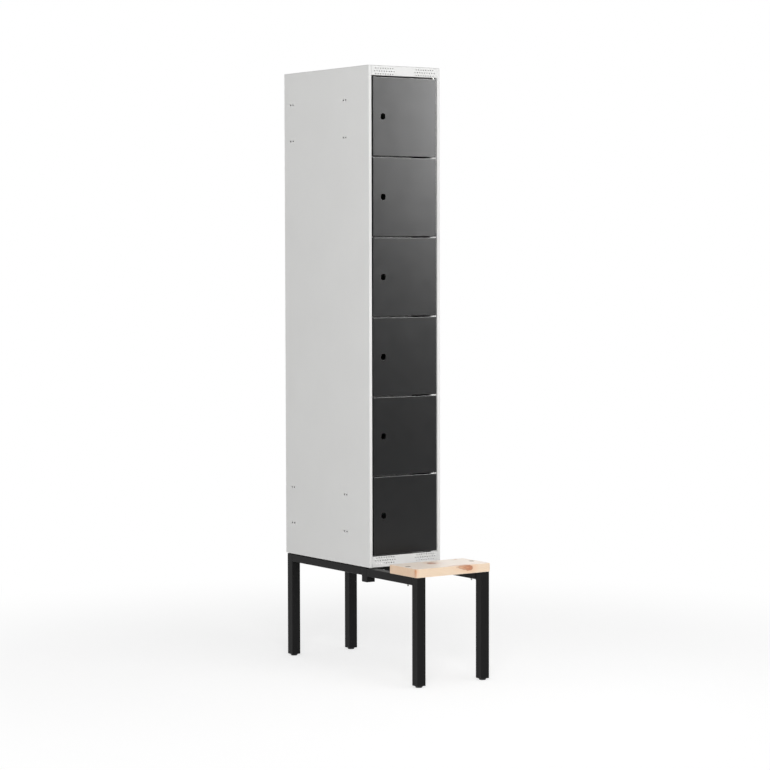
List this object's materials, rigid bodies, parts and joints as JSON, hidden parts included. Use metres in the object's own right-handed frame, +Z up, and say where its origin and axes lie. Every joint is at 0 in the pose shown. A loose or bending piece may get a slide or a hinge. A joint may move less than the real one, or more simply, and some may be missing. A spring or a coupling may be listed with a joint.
{
  "type": "locker with bench",
  "caption": "Tall narrow steel locker with stacked hinged doors, on a square-tube stand that carries a wooden bench board in front.",
  "frame": {"origin": "on the floor, in the middle of the object's width and depth", "axes": "+Z up, +Y from the bench to the locker's back, +X to the right seen from the bench"},
  "size_m": [0.31, 0.845, 2.12],
  "materials": {
    "body_paint": "light grey powder coat, fine orange peel",
    "door_paint": "charcoal powder coat, semi-gloss",
    "stand_paint": "black powder coat, satin",
    "zinc_steel": "zinc plated",
    "black_plastic": "moulded, matte",
    "pine": "sanded pine with knots, clear oil"
  },
  "bodies": {
    "locker": {"side_panel_left": "body_paint", "side_panel_right": "body_paint", "back_panel": "body_paint", "top_panel": "body_paint", "bottom_panel": "body_paint", "top_front_rail": "body_paint", "bottom_front_rail": "body_paint", "shelf_1": "body_paint", "shelf_2": "body_paint", "shelf_3": "body_paint", "shelf_4": "body_paint", "shelf_5": "body_paint", "hinge_bracket_1": "body_paint", "hinge_bracket_2": "body_paint", "hinge_bracket_3": "body_paint", "hinge_bracket_4": "body_paint", "hinge_bracket_5": "body_paint", "hinge_bracket_6": "body_paint", "hinge_bracket_7": "body_paint", "hinge_pin_1": "zinc_steel", "hinge_pin_2": "zinc_steel", "hinge_pin_3": "zinc_steel", "hinge_pin_4": "zinc_steel", "hinge_pin_5": "zinc_steel", "hinge_pin_6": "zinc_steel", "hinge_pin_7": "zinc_steel", "base_rail_left": "stand_paint", "base_rail_right": "stand_paint", "base_cross_front": "stand_paint", "base_cross_rear": "stand_paint", "rear_leg_left": "stand_paint", "rear_leg_right": "stand_paint", "bench_rail_left": "stand_paint", "bench_rail_right": "stand_paint", "bench_leg_left": "stand_paint", "bench_leg_right": "stand_paint", "bench_cross": "stand_paint", "stub_post_left": "stand_paint", "stub_post_right": "stand_paint", "glide_front_left": "black_plastic", "glide_front_right": "black_plastic", "glide_rear_left": "black_plastic", "glide_rear_right": "black_plastic", "seat_plank": "pine", "seat_bolt_left": "zinc_steel", "seat_bolt_right": "zinc_steel", "seat_nut_left": "zinc_steel", "seat_nut_right": "zinc_steel", "locker_bolt_1": "zinc_steel", "locker_bolt_2": "zinc_steel", "locker_bolt_3": "zinc_steel", "locker_bolt_4": "zinc_steel", "frame_bolt_left": "zinc_steel", "frame_bolt_right": "zinc_steel"},
    "door_1": {"door_1": "door_paint"},
    "door_2": {"door_2": "door_paint"},
    "door_3": {"door_3": "door_paint"},
    "door_4": {"door_4": "door_paint"},
    "door_5": {"door_5": "door_paint"},
    "door_6": {"door_6": "door_paint"}
  },
  "joints": [
    {"name": "door_1_hinge", "type": "hinge", "parent": "locker", "child": "door_1", "pos_m": [0.126, -0.1255, 1.94408], "axis": [0, 0, 1], "range_deg": [0, 110]},
    {"name": "door_2_hinge", "type": "hinge", "parent": "locker", "child": "door_2", "pos_m": [0.126, -0.1255, 1.66705], "axis": [0, 0, 1], "range_deg": [0, 110]},
    {"name": "door_3_hinge", "type": "hinge", "parent": "locker", "child": "door_3", "pos_m": [0.126, -0.1255, 1.39002], "axis": [0, 0, 1], "range_deg": [0, 110]},
    {"name": "door_4_hinge", "type": "hinge", "parent": "locker", "child": "door_4", "pos_m": [0.126, -0.1255, 1.11298], "axis": [0, 0, 1], "range_deg": [0, 110]},
    {"name": "door_5_hinge", "type": "hinge", "parent": "locker", "child": "door_5", "pos_m": [0.126, -0.1255, 0.83595], "axis": [0, 0, 1], "range_deg": [0, 110]},
    {"name": "door_6_hinge", "type": "hinge", "parent": "locker", "child": "door_6", "pos_m": [0.126, -0.1255, 0.55892], "axis": [0, 0, 1], "range_deg": [0, 110]}
  ]
}
